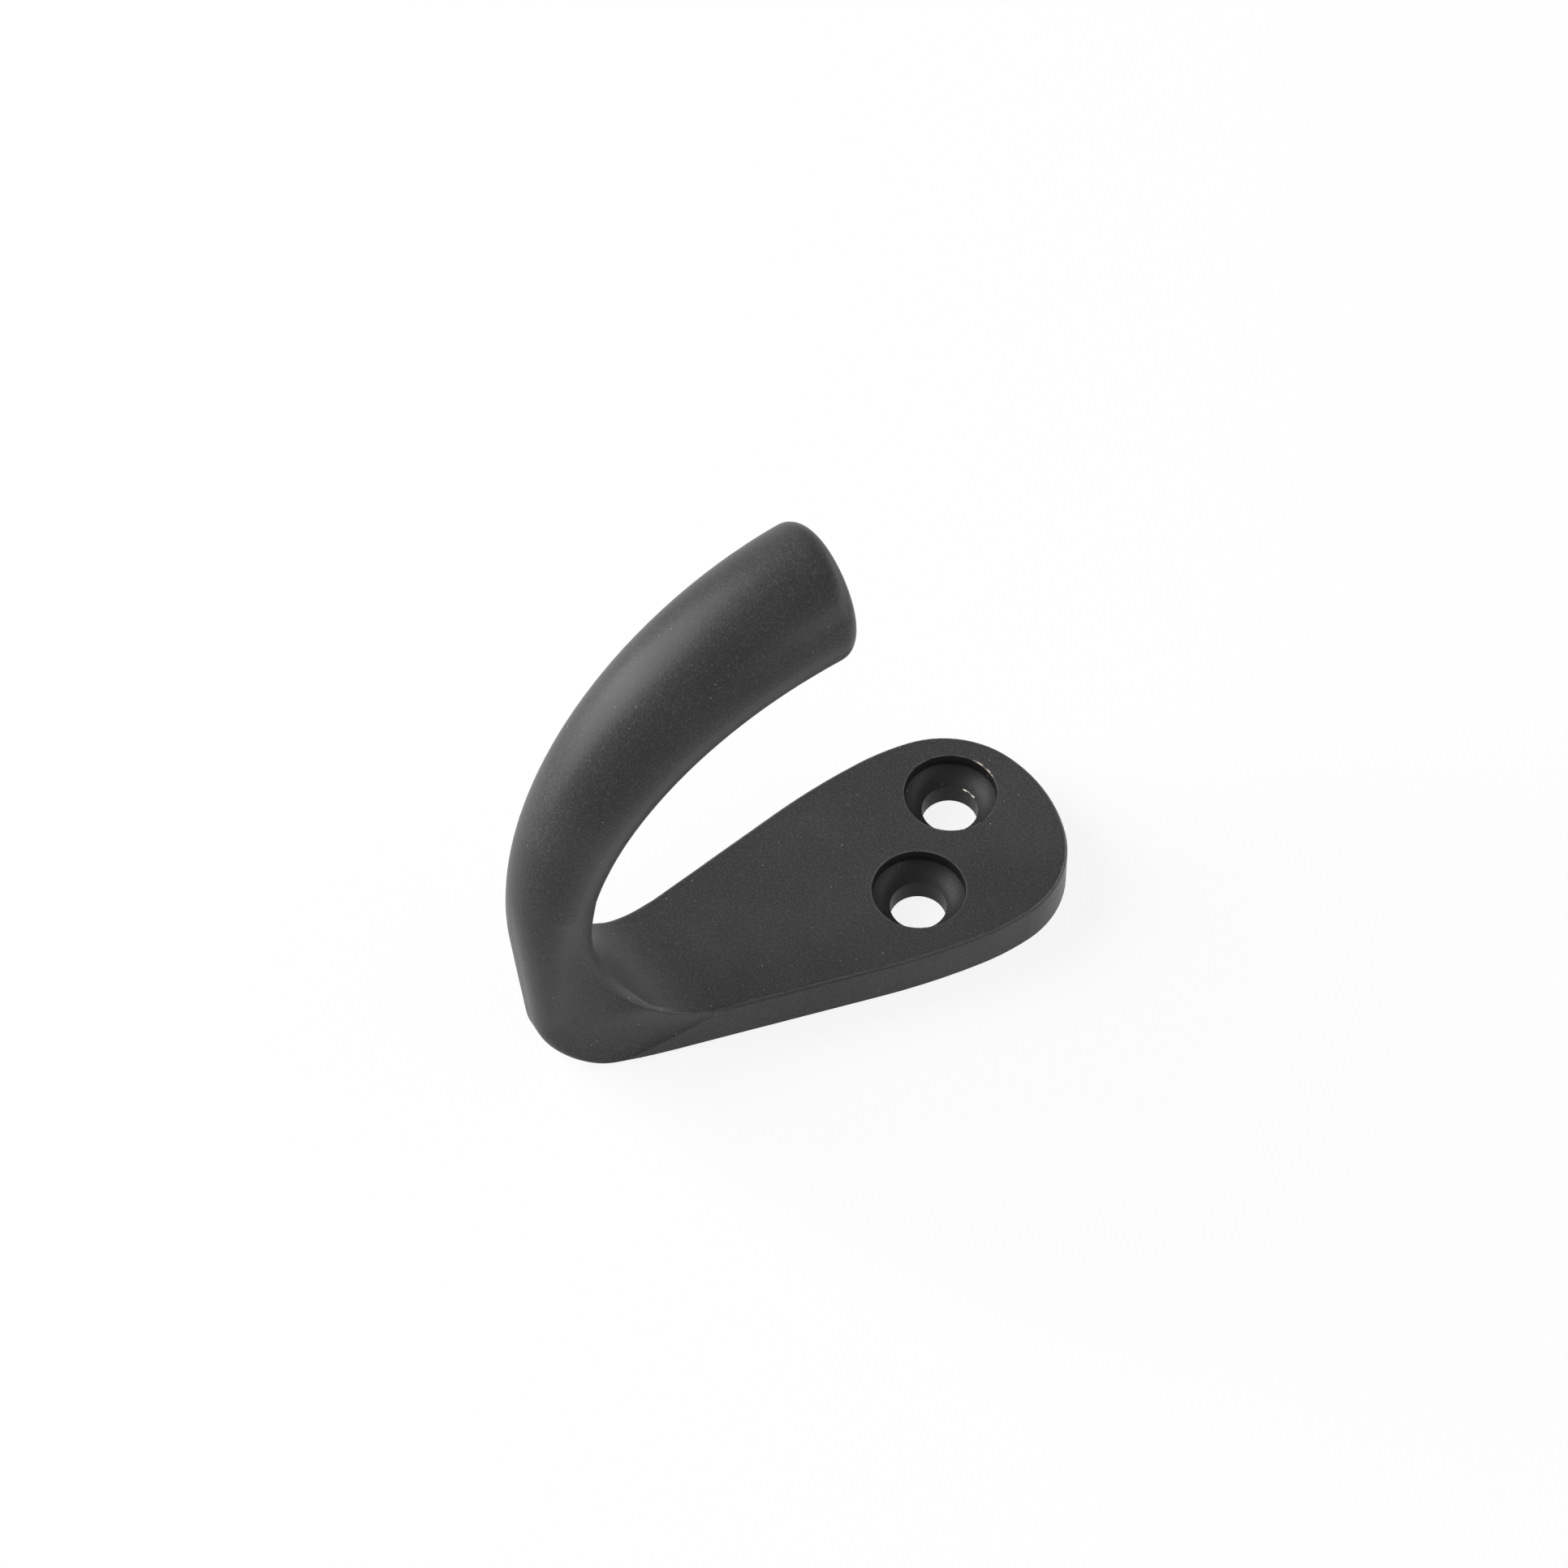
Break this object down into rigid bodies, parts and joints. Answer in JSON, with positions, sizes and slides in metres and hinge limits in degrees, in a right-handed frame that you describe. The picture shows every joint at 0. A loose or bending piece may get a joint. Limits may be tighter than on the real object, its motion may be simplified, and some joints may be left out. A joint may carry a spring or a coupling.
{
  "type": "robe hook",
  "caption": "Wall-mounted robe hook with a teardrop back plate, countersunk screw holes and a round arm that curves over to a flat tip.",
  "frame": {"origin": "on the wall face of the back plate, midway between the two screw holes", "axes": "+Z out of the wall, along the screws; +Y up the wall, from the arm's foot to the screw holes; +X to the right when facing the wall"},
  "size_m": [0.0206, 0.0497, 0.0502],
  "materials": {
    "black_finish": "matte"
  },
  "bodies": {
    "root": {"robe_hook": "black_finish"}
  },
  "joints": []
}
